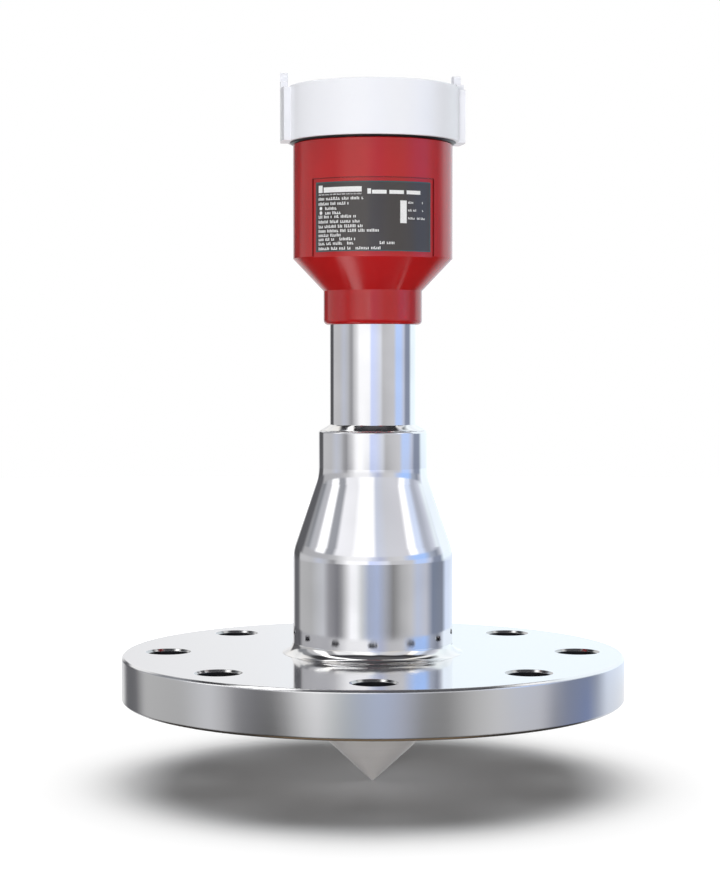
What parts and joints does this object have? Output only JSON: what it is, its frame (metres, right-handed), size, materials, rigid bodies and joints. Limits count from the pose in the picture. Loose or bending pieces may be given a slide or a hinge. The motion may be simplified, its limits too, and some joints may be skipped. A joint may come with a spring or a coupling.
{
  "type": "radar level transmitter",
  "caption": "Radar level transmitter with plastic housing, screw lid, steel neck, bolted process flange and pointed plastic antenna cone.",
  "frame": {"origin": "centre of the flange's raised sealing face, on the neck's axis", "axes": "+Z along the neck towards the lid, -Y towards the label, +Y the side where the cable leaves"},
  "size_m": [0.22, 0.22, 0.3105],
  "materials": {
    "flange_steel": "satin turned rim, mirror-bright face",
    "polished_steel": "polished",
    "weld_steel": "glossy, rippled",
    "turned_steel": "turned",
    "cone_plastic": "matte, fine grain",
    "seal_rubber": "satin",
    "horn_metal": "milled",
    "waveguide_metal": "drawn",
    "housing_plastic": "satin",
    "lid_plastic": "satin",
    "label_film": "matt film with white print",
    "carrier_plastic": "moulded",
    "board_laminate": "lacquered laminate",
    "terminal_plastic": "moulded",
    "screw_brass": "plated",
    "gland_plastic": "moulded"
  },
  "bodies": {
    "process_fitting": {"flange": "flange_steel", "reducer": "polished_steel", "flange_weld": "weld_steel", "neck_tube": "polished_steel", "neck_weld": "weld_steel", "antenna_cone": "cone_plastic", "cone_seal": "seal_rubber", "horn_antenna": "horn_metal", "waveguide_tube": "waveguide_metal", "waveguide_spacer": "cone_plastic", "swivel_ring": "turned_steel"},
    "housing": {"housing_body": "housing_plastic", "label_plate": "label_film", "swivel_seal": "seal_rubber", "swivel_lock_screw": "turned_steel", "electronics_carrier": "carrier_plastic", "radar_module": "horn_metal", "main_board": "board_laminate", "electronics_cover": "carrier_plastic", "carrier_screws": "turned_steel", "terminal_block": "terminal_plastic", "terminal_screws": "screw_brass", "gland_body": "gland_plastic", "gland_gasket": "seal_rubber"},
    "lid_seal": {"lid_seal": "seal_rubber"},
    "lid": {"lid": "lid_plastic"},
    "gland_insert": {"gland_insert": "seal_rubber"},
    "gland_nut": {"gland_nut": "gland_plastic"}
  },
  "joints": [
    {"name": "housing_swivel", "type": "hinge", "parent": "process_fitting", "child": "housing", "pos_m": [0, 0, 0.185], "axis": [0, 0, 1], "range_deg": [-165, 165]},
    {"name": "lid_rise", "type": "slide", "parent": "housing", "child": "lid_seal", "axis": [0, 0, 1], "range_m": [0, 0.02]},
    {"name": "lid_unscrew", "type": "hinge", "parent": "lid_seal", "child": "lid", "pos_m": [0, 0, 0.25], "axis": [0, 0, 1], "range_deg": [0, 1800]},
    {"name": "gland_insert_slide", "type": "slide", "parent": "housing", "child": "gland_insert", "axis": [0, 1, 0], "range_m": [0, 0.008]},
    {"name": "gland_nut_turn", "type": "hinge", "parent": "gland_insert", "child": "gland_nut", "pos_m": [0, 0.05, 0.2285], "axis": [0, 1, 0], "range_deg": [0, 1920]}
  ],
  "couplings": [
    {"joint": "lid_rise", "follows": "lid_unscrew", "m_per_rad": 0.0006366},
    {"joint": "gland_insert_slide", "follows": "gland_nut_turn", "m_per_rad": 0.0002387}
  ]
}
